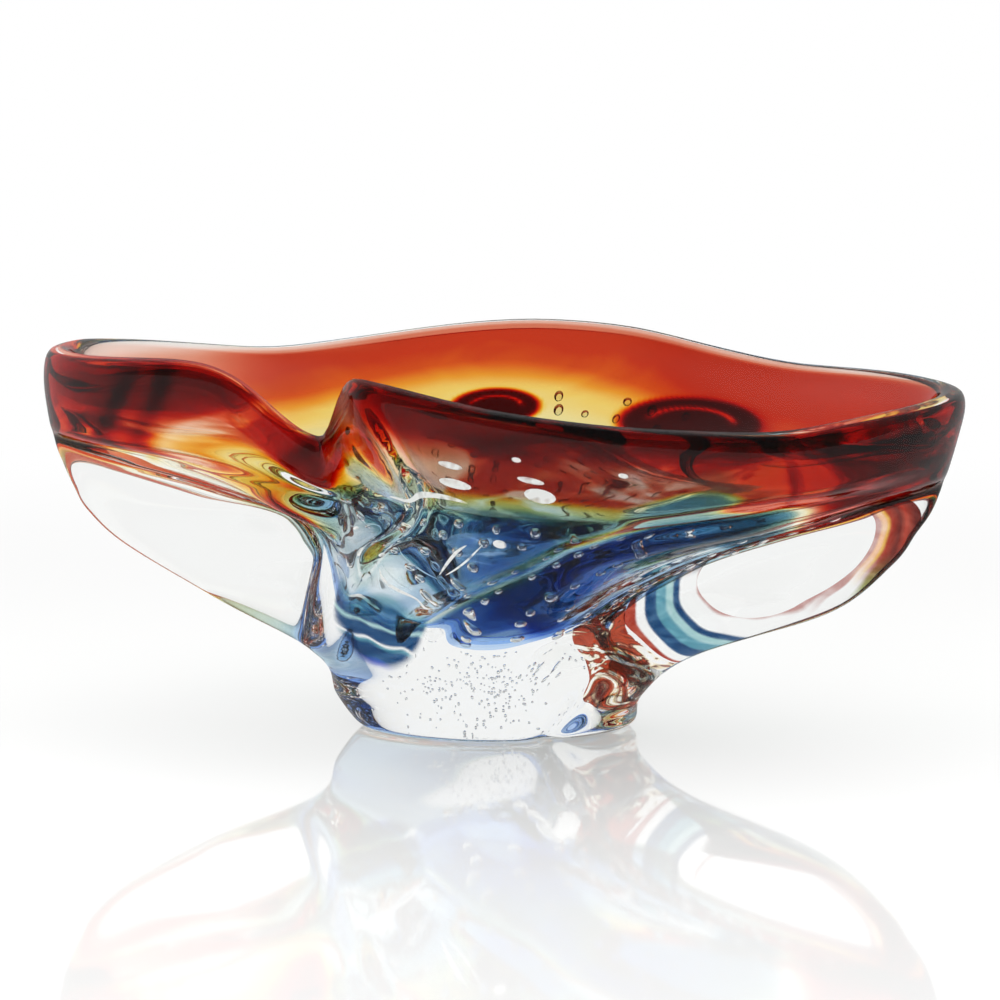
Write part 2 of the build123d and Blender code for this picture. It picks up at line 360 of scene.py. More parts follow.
# Tint of the glass for light that crosses the whole coloured layer once, by the place
# in the run of colours: 0 at the rim, 1 where ruby ends, 2 orange, 3 amber and so on.
TINTS = [
    (0.00, (0.62, 0.080, 0.035)),
    (0.80, (0.66, 0.080, 0.030)),
    (1.20, (0.78, 0.170, 0.030)),
    (1.70, (0.88, 0.370, 0.040)),
    (2.20, (0.92, 0.640, 0.150)),
    (2.70, (0.90, 0.780, 0.360)),
    (3.10, (0.50, 0.560, 0.260)),
    (3.50, (0.16, 0.290, 0.190)),
    (4.00, (0.08, 0.230, 0.270)),
    (4.60, (0.05, 0.170, 0.400)),
    (5.00, (0.03, 0.100, 0.400)),
    (5.40, (0.04, 0.120, 0.580)),
    (6.00, (0.12, 0.320, 0.850)),
]


def colour_run(nodes, table):
    """A run of colours from a table of places and colours."""
    made = nodes.new("ShaderNodeValToRGB")
    stops = made.color_ramp.elements
    while len(stops) > 1:
        stops.remove(stops[0])
    for i, (at, tint) in enumerate(table):
        stop = stops[0] if i == 0 else stops.new(at)
        stop.position = at
        stop.color = tint + (1,)
    return made


def coloured_glass(name):
    """The coloured layer: its tint by place, drifting into its neighbours, with clear streaks."""
    material, nodes, links = new_material(name)
    out = nodes.new("ShaderNodeOutputMaterial")
    read = {}
    for key in ("tone", "strength", "streak", "mottle", "wild"):
        found = nodes.new("ShaderNodeAttribute")
        found.attribute_name = key
        read[key] = found.outputs["Fac"]
    place = nodes.new("ShaderNodeTexCoord")
    stretch = nodes.new("ShaderNodeMapping")
    stretch.inputs["Scale"].default_value = (9, 9, 26)
    links.new(place.outputs["Object"], stretch.inputs["Vector"])
    swirl = node(nodes, "ShaderNodeTexNoise", Scale=1.7, Detail=3.0, Roughness=0.55, Distortion=1.4)
    links.new(stretch.outputs[0], swirl.inputs["Vector"])
    drift = math_node(nodes, links, "SUBTRACT", swirl.outputs["Fac"], 0.5)
    reach = math_node(nodes, links, "MULTIPLY_ADD", read["wild"], 5.0, 0.9)
    tone = math_node(nodes, links, "MULTIPLY_ADD", drift, reach, read["tone"])
    share = nodes.new("ShaderNodeMapRange")
    share.inputs["From Max"].default_value = LAST_TONE
    links.new(tone, share.inputs["Value"])
    colours = colour_run(nodes, [(at / LAST_TONE, tint) for at, tint in TINTS])
    links.new(share.outputs[0], colours.inputs[0])
    turned = nodes.new("ShaderNodeMapping")
    turned.inputs["Rotation"].default_value = (0, math.radians(38), 0)
    turned.inputs["Scale"].default_value = (22, 30, 95)
    links.new(place.outputs["Object"], turned.inputs["Vector"])
    threads = node(nodes, "ShaderNodeTexNoise", Scale=1.5, Detail=2.0, Roughness=0.5, Distortion=2.2)
    links.new(turned.outputs[0], threads.inputs["Vector"])
    clear = nodes.new("ShaderNodeMapRange")
    clear.interpolation_type = "SMOOTHSTEP"
    clear.inputs["From Min"].default_value = 0.50
    clear.inputs["From Max"].default_value = 0.66
    links.new(threads.outputs["Fac"], clear.inputs["Value"])
    gone = math_node(nodes, links, "MULTIPLY", clear.outputs[0], read["streak"])
    kept = math_node(nodes, links, "SUBTRACT", 1.0, gone)
    patch = nodes.new("ShaderNodeMapRange")
    patch.interpolation_type = "SMOOTHSTEP"
    patch.inputs["From Min"].default_value = 0.44
    patch.inputs["From Max"].default_value = 0.56
    patch.inputs["To Min"].default_value = -0.68
    patch.inputs["To Max"].default_value = 0.8
    links.new(swirl.outputs["Fac"], patch.inputs["Value"])
    dark = math_node(nodes, links, "MULTIPLY_ADD", patch.outputs[0], read["mottle"], 1.0)
    power = math_node(nodes, links, "MULTIPLY", read["strength"], kept)
    power = math_node(nodes, links, "MULTIPLY", power, dark)
    power = math_node(nodes, links, "MULTIPLY", power, 0.5)
    parts = nodes.new("ShaderNodeSeparateColor")
    whole = nodes.new("ShaderNodeCombineColor")
    links.new(colours.outputs[0], parts.inputs[0])
    for i in range(3):
        links.new(math_node(nodes, links, "POWER", parts.outputs[i], power), whole.inputs[i])
    tinted = nodes.new("ShaderNodeBsdfTransparent")
    links.new(whole.outputs[0], tinted.inputs["Color"])
    links.new(tinted.outputs[0], out.inputs[0])
    return material


def white_pass():
    """The joint between two colours, which adds no colour of its own."""
    material, nodes, links = new_material("layer_joint")
    out = nodes.new("ShaderNodeOutputMaterial")
    clear = node(nodes, "ShaderNodeBsdfTransparent", Color=(1, 1, 1, 1))
    links.new(clear.outputs[0], out.inputs[0])
    return material


def bubble_highlight_skin():
    """The skin of the long flat bubbles and the threads: a painted highlight that glows white in
    flecked patches, though it is no lamp.
    """
    material, nodes, links = new_material("bubble_painted_highlight")
    out = nodes.new("ShaderNodeOutputMaterial")
    skin = node(nodes, "ShaderNodeBsdfTransparent", Color=(1, 1, 1, 1))
    # painted highlight: a soft white glow on the skin, mixed in patches by a fine noise
    painted_glow = node(nodes, "ShaderNodeEmission", Color=(0.93, 0.94, 0.92, 1), Strength=0.85)
    place = nodes.new("ShaderNodeTexCoord")
    highlight_fleck = node(nodes, "ShaderNodeTexNoise", Scale=260.0, Detail=1.0)
    links.new(place.outputs["Object"], highlight_fleck.inputs["Vector"])
    share = nodes.new("ShaderNodeMapRange")
    share.inputs["From Min"].default_value = 0.35
    share.inputs["From Max"].default_value = 0.55
    share.inputs["To Min"].default_value = 0.15
    links.new(highlight_fleck.outputs["Fac"], share.inputs["Value"])
    mix = nodes.new("ShaderNodeMixShader")
    links.new(share.outputs[0], mix.inputs[0])
    links.new(skin.outputs[0], mix.inputs[1])
    links.new(painted_glow.outputs[0], mix.inputs[2])
    links.new(mix.outputs[0], out.inputs[0])
    return material


# ---------------------------------------------------------------- meshes


def make_object(name, points, faces, materials, picks=None):
    mesh = bpy.data.meshes.new(name)
    mesh.from_pydata([tuple(p) for p in np.asarray(points) * MM], [], faces)
    mesh.validate()
    for material in materials:
        mesh.materials.append(material)
    if picks is not None:
        mesh.polygons.foreach_set("material_index", picks)
    mesh.polygons.foreach_set("use_smooth", [True] * len(mesh.polygons))
    made = bpy.data.objects.new(name, mesh)
    bpy.context.scene.collection.objects.link(made)
    return made


def quads(rows, count, first=0, flip=False):
    faces = []
    for i in range(rows - 1):
        for j in range(count):
            k = (j + 1) % count
            a = first + i * count
            face = (a + j, a + k, a + count + k, a + count + j)
            faces.append(face[::-1] if flip else face)
    return faces


def cap(ring, centre, count, flip=False):
    faces = []
    for j in range(count):
        face = (ring + (j + 1) % count, ring + j, centre)
        faces.append(face[::-1] if flip else face)
    return faces


def small_sphere(centre, radii, axes, segments, rings):
    """A void: its faces look inwards, because the glass is round it."""
    points = [centre + axes[2] * radii[2]]
    for i in range(1, rings):
        t = math.pi * i / rings
        for j in range(segments):
            p = 2 * math.pi * j / segments
            flat = math.cos(p) * radii[0] * axes[0] + math.sin(p) * radii[1] * axes[1]
            points.append(centre + math.sin(t) * flat + math.cos(t) * radii[2] * axes[2])
    points.append(centre - axes[2] * radii[2])
    last = len(points) - 1
    faces = []
    for j in range(segments):
        k = (j + 1) % segments
        faces.append((0, 1 + k, 1 + j))
        base = 1 + (rings - 2) * segments
        faces.append((last, base + j, base + k))
        for i in range(rings - 2):
            a = 1 + i * segments
            faces.append((a + j, a + k, a + segments + k, a + segments + j))
    return points, faces


angles = np.linspace(0, 2 * np.pi, AROUND, endpoint=False)


def border(position, u):
    """Where a colour ends at each direction round the bowl."""
    if position < 0:
        return np.full(u.shape, COLOUR_TOP)
    if position >= len(BANDS):
        return np.full(u.shape, BOTTOM)
    total = np.zeros(u.shape)
    weight = 0.0
    for step in range(-4, 5):
        w = math.exp(-(step / 2.5) ** 2)
        turned = np.degrees(u) + 5 * step
        total = total + w * np.interp(turned, DIRECTIONS, BANDS[position][1], period=360)
        weight += w
    return total / weight


def grid_bubbles():
    """Rows of trapped air just outside the colour, evenly spaced round the hollow.

    The left end has none, and high up there are only a few at the back."""
    voids = []
    random = np.random.default_rng(7)
    for n, s in enumerate(np.arange(3.3, 9.0, 0.42)):
        test = hollow_ring(np.full(400, s), np.linspace(0, 2 * np.pi, 400), 5.5)
        run = np.linalg.norm(np.diff(test, axis=0), axis=1).cumsum()
        count = max(4, int(run[-1] / BUBBLE_PITCH))
        for k in range(count):
            at = (k + 0.5 * (n % 2)) * run[-1] / count
            u = np.interp(at % run[-1], run, np.linspace(0, 2 * np.pi, 399))
            if np.cos(u) < -0.45 or random.random() < 0.12:
                continue
            if s < 4.3 and abs(u - 1.25) > 0.2:
                continue
            u = np.array([u + random.uniform(-0.02, 0.02)])
            place = np.array([s + random.uniform(-0.05, 0.05)])
            centre = hollow_ring(place, u, BUBBLE_DEPTH)[0]
            out = centre - hollow_ring(place, u, BUBBLE_DEPTH - 2)[0]
            out = out / np.linalg.norm(out)
            below = hollow_ring(place + 0.05, u, BUBBLE_DEPTH)[0]
            down = below - hollow_ring(place - 0.05, u, BUBBLE_DEPTH)[0]
            down = down - out * (down @ out)
            down = down / np.linalg.norm(down)
            size = random.uniform(1.5, 2.1)
            radii = (size, size * random.uniform(1.0, 1.5), size * 0.8)
            voids.append((centre, radii, (np.cross(down, out), down, out)))
    return voids


def highlit_bubbles():
    """The few long flat bubbles in the front wall, whose white shine is a painted highlight from the
    glowing skin they are given.
    """
    s = np.repeat(np.linspace(0.5, 7, 261), 400)
    u = np.tile(np.linspace(np.pi, 2 * np.pi, 400), 261)
    skin = hollow_ring(s, u, 8.0)
    axes = np.array([(0.98, 0, -0.2), (0.2, 0, 0.98), (0, -1, 0)])
    voids = []
    for x, z, wide, high in HIGHLIT_BUBBLES:
        nearest = np.argmin(np.hypot(skin[:, 0] - x, skin[:, 2] - z))
        voids.append((skin[nearest], (wide, high, PALE_DEEP), axes))
    return voids


def highlight_threads():
    """Painted highlight streaks in the clear glass, built as long thin voids whose skin glows white
    in place of reflections along the folds, as points and faces.
    """
    s = np.repeat(np.linspace(0.5, 9, 261), 400)
    u = np.tile(np.linspace(np.pi, 2 * np.pi, 400), 261)
    skin = hollow_ring(s, u, 9.0)
    made = []
    along, sides = 28, 8
    flat = np.array([0, 0.6, 0])
    for (x0, z0), (x1, z1), (x2, z2), thick in HIGHLIGHT_THREADS:
        line = []
        for t in np.linspace(0, 1, along + 1):
            x = (1 - t) ** 2 * x0 + 2 * t * (1 - t) * x1 + t**2 * x2
            z = (1 - t) ** 2 * z0 + 2 * t * (1 - t) * z1 + t**2 * z2
            depth = skin[np.argmin(np.hypot(skin[:, 0] - x, skin[:, 2] - z)), 1]
            line.append((x, depth, z))
        line = np.array(line)
        line[:, 1] = np.convolve(np.pad(line[:, 1], 3, "edge"), np.ones(7) / 7, "valid")
        across = np.array([z2 - z0, 0, x0 - x2]) / math.hypot(x2 - x0, z2 - z0)
        points = [line[0]]
        for i in range(1, along):
            r = thick * math.sqrt(math.sin(math.pi * i / along))
            for j in range(sides):
                p = 2 * math.pi * j / sides
                points.append(line[i] + r * (math.cos(p) * across + math.sin(p) * flat))
        points.append(line[-1])
        last = len(points) - 1
        faces = []
        for j in range(sides):
            k = (j + 1) % sides
            faces.append((0, 1 + j, 1 + k))
            base = 1 + (along - 2) * sides
            faces.append((last, base + k, base + j))
            for i in range(along - 2):
                a = 1 + i * sides
                faces.append((a + k, a + j, a + sides + j, a + sides + k))
        made.append((points, faces))
    return made


def seed_bubbles():
    """The cloud of fine seed left in the clear foot."""
    voids = []
    random = np.random.default_rng(11)
    while len(voids) < SEEDS:
        p = random.normal(0, 1, 3) * (15, 12, 7) + (-3, -8, 21)
        if p[2] < 5 or p[2] > 33 or math.hypot(p[0] / 34, p[1] / 28) > 1:
            continue
        size = random.uniform(0.22, 0.5)
        voids.append((p, (size, size, size), np.eye(3)))
    return voids


def glass_body():
    """All of the clear glass as one closed skin, with a void for each bubble."""
    full = np.ones(AROUND)
    rows = [outside_ring(s * full, angles) for s in np.linspace(0, TOP, OUTSIDE_ROWS)]
    rows += [hollow_ring(s * full, angles) for s in np.linspace(0, BOTTOM, HOLLOW_ROWS)[1:]]
    points = list(np.concatenate(rows))
    faces = quads(len(rows), AROUND)
    points.append(rows[0].mean(0))
    points.append(rows[-1].mean(0))
    faces += cap(0, len(points) - 2, AROUND)
    faces += cap((len(rows) - 1) * AROUND, len(points) - 1, AROUND, flip=True)
    picks = [0] * len(faces)
    for kind, voids in enumerate((grid_bubbles(), highlit_bubbles(), seed_bubbles())):
        for centre, radii, axes in voids:
            fineness = (8, 6) if kind == 2 else (14, 10)
            more, sides = small_sphere(centre, radii, axes, *fineness)
            base = len(points)
            points += more
            faces += [tuple(base + i for i in side) for side in sides]
            # the long flat bubbles get the glowing skin, a painted highlight; the other voids stay
            # clear glass
            picks += [1 if kind == 1 else 0] * len(sides)
    for more, sides in highlight_threads():
        base = len(points)
        points += more
        faces += [tuple(base + i for i in side) for side in sides]
        # the threads get the glowing skin too, a painted highlight
        picks += [1] * len(sides)
    materials = [clear_glass(), bubble_highlight_skin()]
    body = make_object("glass_body", points, faces, materials, np.array(picks, np.int32))
    sharp = np.zeros(len(body.data.edges), bool)
    ends = np.zeros(len(body.data.edges) * 2, np.int32)
    body.data.edges.foreach_get("vertices", ends)
    ends = ends.reshape(-1, 2)
    sharp[(ends < AROUND).all(axis=1)] = True
    body.data.attributes.new("sharp_edge", "BOOLEAN", "EDGE").data.foreach_set("value", sharp)
    return body


def spot(x, y, x0, y0, wide, high):
    """A soft oval mask round a place."""
    return np.exp(-(((x - x0) / wide) ** 2) - ((y - y0) / high) ** 2)


def blend(value, target, share):
    """A value moved towards a target by a share."""
    return value + (target - value) * share


def thinned(strength, amount, mask):
    """The colour thinned by an amount where the mask is 1."""
    return strength * (1 - amount * mask)


def dark_drops(tone, strength, x, z, back):
    """Drops of dark glass, each with an orange rim and a painted highlight arc across its upper
    part, on the back wall.
    """
    for x0, z0, wide, high in DARK_DROPS:
        away = np.hypot((x - x0) / wide, (z - z0 - 0.05 * (x - x0)) / high)
        inside = back * edge((1 - away) / 0.03)
        rim = back * stripe(away, 1.05, 0.07)
        # painted highlight: a bright orange arc across the upper part of each drop, where its colour
        # thins
        highlight_arc = stripe(away, 0.62, 0.07) * ramp(-0.1, 0.3, (z - z0) / high)
        strength = strength + inside * (6.0 - 5.0 * highlight_arc) + 0.9 * rim
        tone = blend(tone, 0.3 + 1.3 * highlight_arc, np.clip(inside, 0, 1))
        tone = blend(tone, ORANGE_TONE, 0.7 * np.clip(rim, 0, 1))
    return tone, strength


def left_lobe(tone, strength, x, z, front, warm):
    """Dark bars behind the lip of the lobe, a red oval with a dark edge, clear glass below."""
    lobe = front * ramp(-48, -60, x)
    middle_x, middle_z = LOBE_OVAL
    oval = np.hypot((x - middle_x) / 26, (z - middle_z - 0.14 * (x - middle_x)) / 10)
    strength = strength + lobe * warm * (1.8 * ramp(0.9, 1.25, oval) * ramp(98, 106, z) - 0.3)
    for bar in LOBE_BARS:
        strength = strength + 2.6 * lobe * warm * stripe(x - 0.3 * (z - 118), bar, 2.6)
    strength = thinned(strength, 0.6, lobe * ramp(-134, -150, x))
    thin = lobe * ramp(-92, -112, x) * ramp(114, 104, z)
    end = ramp(-70, -95, x) * ramp(108, 96, z)
    strength = thinned(strength, 0.93, np.maximum(thin, end))
    hook = lobe * spot(x, z, -57, 92, 12, 11)
    return blend(tone, 0.7, np.clip(1.4 * hook, 0, 1)), strength + 0.9 * hook


def lap_tube(tone, strength, x, z, front, low):
    """The tube under the lap: a pale teal crest that is a painted highlight, a navy flank deepened
    partly as painted shade, cobalt tip, ruby far right.
    """
    lift = 5 * ramp(5, 50, x) * ramp(90, 62, x) - 6 * ramp(72, 104, x)
    off, _ = lap_place(x, z - lift)
    under = front * ramp(1, -3, off) * ramp(-60, -30, x) * np.maximum(low, ramp(5, 35, x))
    share = np.clip(-off / TUBE_WIDTH, 0, 1.4)
    # painted light on the tube: the crest stays a thin pale teal as a painted highlight, and down
    # the flank the navy deepens, partly its own colour and partly painted shade
    shaded_flank = ramp(0.15, 0.5, share)
    tip = spot(x, z, 6, 58, 22, 12)
    colour = TEAL_TONE + (1.1 - 0.5 * ramp(35, 60, x)) * shaded_flank
    colour = colour + 0.9 * ramp(0.72, 0.85, share) * ramp(14, 4, x)
    colour = colour - 0.3 * ramp(60, 90, x) - 4.6 * ramp(98, 112, x) - 0.5 * tip
    power = 0.22 + 0.4 * ramp(36, 60, x) + (0.5 - 0.1 * ramp(20, 80, x)) * shaded_flank
    below = ramp(0.8, 0.95, share - 0.12 * ramp(42, 66, x))
    power = thinned(power, 0.97, below * ramp(12, 26, x) * ramp(100, 80, x))
    power = thinned(power, 0.85, stripe(x, 104, 8)) + 1.8 * ramp(106, 120, x) + 0.5 * tip
    return blend(tone, colour, under), blend(strength, power, under), np.clip(under, 0, 1)


def colouring(tone, u, points):
    """How the coloured layer looks at each point, place in mm.

    Gives its tone, its strength, how far clear streaks cut it, how far it is mottled light
    and dark, and how wildly its tone swirls."""
    x, _, z = np.asarray(points).T
    front = ramp(0.15, -0.25, np.sin(u))
    back = 1 - front
    # the front wall is ruby nearly down to the blue, with a thin amber and olive line between
    tone = blend(tone, np.interp(tone, *FRONT_TONES), front * ramp(-45, -25, x))
    low = ramp(2.7, 3.6, tone)
    warm = 1 - low
    strength = 1 + back * ramp(2.2, 0.8, tone) * (0.25 + 0.2 * ramp(45, 75, x))
    strength = thinned(strength, 0.55, ramp(0.34, 0.10, tone))
    depth = 0.05 + 2.1 * ramp(106, 115, z) * ramp(-70, -30, x) + 1.6 * ramp(50, 90, x)
    strength = thinned(strength + front * warm * depth, 0.72, back * low)
    # towards both ends the colour pales, and clears with a yellow line at the right tip
    ends = ramp(-35, -80, x) + ramp(70, 120, x)
    strength = thinned(strength, 0.7, back * ramp(121, 127, z) * ends)
    strength = thinned(strength, 0.6, back * ramp(-75, -115, x))
    tone = blend(tone, YELLOW_TONE, front * ramp(113, 116, z) * ramp(95, 120, x))
    strength = thinned(strength, 0.8, front * ramp(116, 120, z) * ramp(95, 122, x))
    strength = thinned(strength, 0.84, ramp(119, 124, z) * ramp(106, 130, x))
    tone, strength = dark_drops(tone, strength, x, z, back)
    tone, strength = left_lobe(tone, strength, x, z, front, warm)
    tone, strength, under = lap_tube(tone, strength, x, z, front, low)
    # under the ridge, and between it and the lap, the colour thins out to clear glass
    gap = 0.88 * front * spot(x, z, -34, 64, 20, 20)
    ridge = np.interp(z, [row[0] for row in OUTSIDE], [row[-1] for row in OUTSIDE])
    bare = front * stripe(x, ridge, 6 + 3 * ramp(98, 108, z)) * (0.7 + 0.2 * ramp(108, 98, z))
    strength = thinned(strength, 1, np.clip(np.maximum(gap, bare), 0, 1))
    strength = thinned(strength, 0.65, front * low * ramp(8, -20, x))
    strength = thinned(strength, 0.6, front * ramp(5.0, 5.7, tone))
    swirl = front * low * (1 - under) * spot(x, z, -10, 84, 30, 17)
    streak = np.clip(0.2 * low + 0.8 * swirl, 0, 1)
    mottle = front * warm * ramp(120, 112, z) * (1 - under)
    return {"tone": tone, "strength": strength, "streak": streak, "mottle": mottle, "wild": swirl}


def colour_band(position, name, material, joint):
    top = border(position - 1, angles)
    low = border(position, angles)
    count = 8 + int(14 * (low - top).max())
    shares = np.linspace(0, 1, count)
    inner = [hollow_ring(top + (low - top) * k, angles, LINING) for k in shares]
    outer = [hollow_ring(top + (low - top) * k, angles, LINING + COLOUR) for k in shares]
    is_cup = position == len(BANDS)
    points = list(np.concatenate(outer + (inner if is_cup else inner[::-1])))
    order = list(shares) + list(shares if is_cup else shares[::-1])
    tone = np.concatenate([np.full(AROUND, position + k) for k in order])
    turn = np.tile(angles, 2 * count)
    last = (2 * count - 1) * AROUND
    if is_cup:
        faces = quads(count, AROUND, flip=True) + quads(count, AROUND, first=count * AROUND)
        picks = [0] * len(faces)
        start = count * AROUND
        ends = cap((count - 1) * AROUND, 2 * count * AROUND, AROUND)
        ends += cap(last, 2 * count * AROUND + 1, AROUND, flip=True)
        faces += ends
        picks += [0] * len(ends)
        points += [outer[-1].mean(0), inner[-1].mean(0)]
        tone = np.concatenate([tone, [6.0, 6.0]])
        turn = np.concatenate([turn, [0.0, 0.0]])
    else:
        faces = quads(2 * count, AROUND, flip=True)
        picks = [0] * len(faces)
        picks[(count - 1) * AROUND:count * AROUND] = [1] * AROUND
        start = last
    around = [(j + 1) % AROUND for j in range(AROUND)]
    faces += [(j, k, start + k, start + j) for j, k in enumerate(around)]
    picks += [1] * AROUND
    band = make_object(name, points, faces, [material, joint], np.array(picks, np.int32))
    for key, values in colouring(tone, turn, points).items():
        made = band.data.attributes.new(key, "FLOAT", "POINT")
        made.data.foreach_set("value", values.astype(np.float32))
    band.visible_shadow = False
    return band


# ---------------------------------------------------------------- ribbons in the clear glass

WINDOW = (104.0, 65.5)          # middle of the clear window in the right fin, mm
WINDOW_SIZE = (33.0, 17.5)      # its half length and half height
WINDOW_TILT = math.radians(25)
RIBBON = 0.8                    # thickness of a ribbon of colour
CLEAR = (1.0, 1.0, 1.0)
MAUVE = (0.62, 0.38, 0.36)
NAVY = (0.025, 0.09, 0.22)
AQUA = (0.45, 0.68, 0.70)
TEAL = (0.13, 0.36, 0.46)
RED = (0.45, 0.06, 0.035)
MAROON = (0.16, 0.025, 0.02)
PEACH = (0.95, 0.62, 0.42)
AMBER = (0.85, 0.50, 0.12)
OLIVE = (0.42, 0.48, 0.20)
COBALT = (0.03, 0.08, 0.62)
# Colours by distance from the edge of the window, on its cool and on its warm side.
COOL = [
    (0, MAUVE), (1, CLEAR), (7, CLEAR), (7.6, NAVY), (9.4, NAVY), (10, AQUA), (12, AQUA),
    (13, TEAL), (16, TEAL), (16.6, NAVY), (20.5, NAVY), (21, CLEAR), (24, CLEAR), (24.6, RED),
    (30, RED),
]
WARM = [
    (0, MAUVE), (1, MAUVE), (2, PEACH), (3, PEACH), (4, AMBER), (5, RED), (8, MAROON),
    (10, RED), (13, MAROON),
]
UNDER = [
    (0, MAUVE), (2, MAUVE), (2.6, CLEAR), (5, CLEAR), (6, OLIVE), (8, OLIVE), (9, CLEAR),
    (20, CLEAR),
]
OVER = [(0, AQUA), (1, MAROON), (3, NAVY), (4, RED), (5, MAROON), (9, MAROON)]
# How far the ribbons reach from the edge of the window, by direction in degrees.
RIBBON_REACH = (
    (0, 45, 90, 150, 200, 240, 270, 320),
    (20, 9, 7, 12, 28, 24, 15, 15),
)
# Middle and half sizes of the ruby threads under the right fin.
RUBY_MIDDLE = (46, 33)
RUBY_SIZE = (26, 24)
# Middle, half sizes and depth of the striped swirl at the left of the foot, and its stripes
# by height.
SWIRL_MIDDLE = (-35, 43)
SWIRL_SIZE = (16, 17)
SWIRL_DEPTH = -33.0
STRIPES = [
    (26, CLEAR), (28, COBALT), (31, NAVY), (35, NAVY), (36.5, TEAL), (37.5, CLEAR),
    (38.5, NAVY), (43, NAVY), (44.5, AQUA), (46, NAVY), (50, TEAL), (52, AQUA), (54, TEAL),
    (56, AQUA), (60, AQUA),
]
# The marbled ruby and clear glass, by share of its noise.
MARBLE = [
    (0.30, (0.30, 0.035, 0.02)),
    (0.44, (0.55, 0.09, 0.04)),
    (0.50, (0.10, 0.02, 0.02)),
    (0.53, (0.95, 0.80, 0.55)),
    (0.57, (1.0, 0.97, 0.90)),
    (0.66, (1.0, 1.0, 1.0)),
]


def tints(table, at):
    """Colours from a table of places and colours."""
    places = [row[0] for row in table]
    return np.stack([np.interp(at, places, [row[1][i] for row in table]) for i in range(3)], -1)


def inside_glass(x, z):
    """Whether a place in the middle plane is in the clear glass, right of the axis."""
    s = np.linspace(0, TOP, 200)
    skin = outside_ring(s, np.zeros(200))
    under = hollow_ring(np.linspace(0, BOTTOM - 1, 200), np.zeros(200), LINING + COLOUR + 1.5)
    within = x < np.interp(z, skin[:, 2], skin[:, 0]) - 2.5
    return within & (z < np.interp(x, under[::-1, 0], under[::-1, 2]))


def window_distance(x, z):
    """Distance from the edge of the window along the ray from its middle, and that ray's angle."""
    dx, dz = x - WINDOW[0], z - WINDOW[1]
    a = (dx * math.cos(WINDOW_TILT) + dz * math.sin(WINDOW_TILT)) / WINDOW_SIZE[0]
    b = (dz * math.cos(WINDOW_TILT) - dx * math.sin(WINDOW_TILT)) / WINDOW_SIZE[1]
    r = np.hypot(a, b)
    return np.hypot(dx, dz) * (1 - 1 / np.maximum(r, 1e-6)), np.arctan2(b, a)


def ribbon_tint(x, z):
    """Colour of the ribbons round the window."""
    away, turn = window_distance(x, z)
    away = away + 0.5 * np.sin(5 * turn) + 0.25 * np.sin(13 * turn + 1)
    away = np.maximum(away, 0)
    over = ramp(0.35, 0.7, np.sin(turn))[:, None]
    warm = ramp(0.35, 0.8, np.cos(turn))[:, None]
    under = (ramp(-0.1, 0.35, np.cos(turn)) * ramp(-0.3, -0.7, np.sin(turn)))[:, None]
    tint = tints(COOL, away) * (1 - under) + tints(UNDER, away) * under
    tint = tint * (1 - warm) + tints(WARM, away) * warm
    return tint * (1 - over) + tints(OVER, away) * over


def stripe_tint(x, z):
    """Colour of the striped swirl at the left of the foot."""
    v = z + 0.35 * (x + 38) + 0.9 * np.sin(0.2 * x) + 0.4 * np.sin(0.8 * x + 0.3 * z)
    across = (x - SWIRL_MIDDLE[0]) / SWIRL_SIZE[0]
    fade = ramp(0.75, 1.0, np.hypot(across, (z - SWIRL_MIDDLE[1]) / SWIRL_SIZE[1]))[:, None]
    return tints(STRIPES, v) * (1 - fade) + fade


def plain_tint(x, z):
    return np.ones((len(x), 3))


def ribbon_material(name, marbled):
    """Thin coloured glass; its tint is stored on the mesh, or marbled ruby and clear."""
    material, nodes, links = new_material(name)
    out = nodes.new("ShaderNodeOutputMaterial")
    place = nodes.new("ShaderNodeTexCoord")
    turned = nodes.new("ShaderNodeMapping")
    turned.inputs["Rotation"].default_value = (0, math.radians(-62), 0)
    turned.inputs["Scale"].default_value = (34, 34, 85)
    links.new(place.outputs["Object"], turned.inputs["Vector"])
    swirl = node(nodes, "ShaderNodeTexNoise", Scale=1.6, Detail=2.5, Roughness=0.5, Distortion=2.6)
    links.new(turned.outputs[0], swirl.inputs["Vector"])
    if marbled:
        colours = colour_run(nodes, MARBLE)
        links.new(swirl.outputs["Fac"], colours.inputs[0])
        colour = colours.outputs[0]
    else:
        tint = nodes.new("ShaderNodeAttribute")
        tint.attribute_name = "tint"
        colour = tint.outputs["Color"]
    root = nodes.new("ShaderNodeGamma")
    links.new(colour, root.inputs["Color"])
    if marbled:
        root.inputs["Gamma"].default_value = 0.5
    else:
        vary = nodes.new("ShaderNodeMapRange")
        vary.inputs["To Min"].default_value = 0.2
        vary.inputs["To Max"].default_value = 0.8
        links.new(swirl.outputs["Fac"], vary.inputs["Value"])
        links.new(vary.outputs[0], root.inputs["Gamma"])
    tinted = nodes.new("ShaderNodeBsdfTransparent")
    links.new(root.outputs[0], tinted.inputs["Color"])
    links.new(tinted.outputs[0], out.inputs[0])
    return material


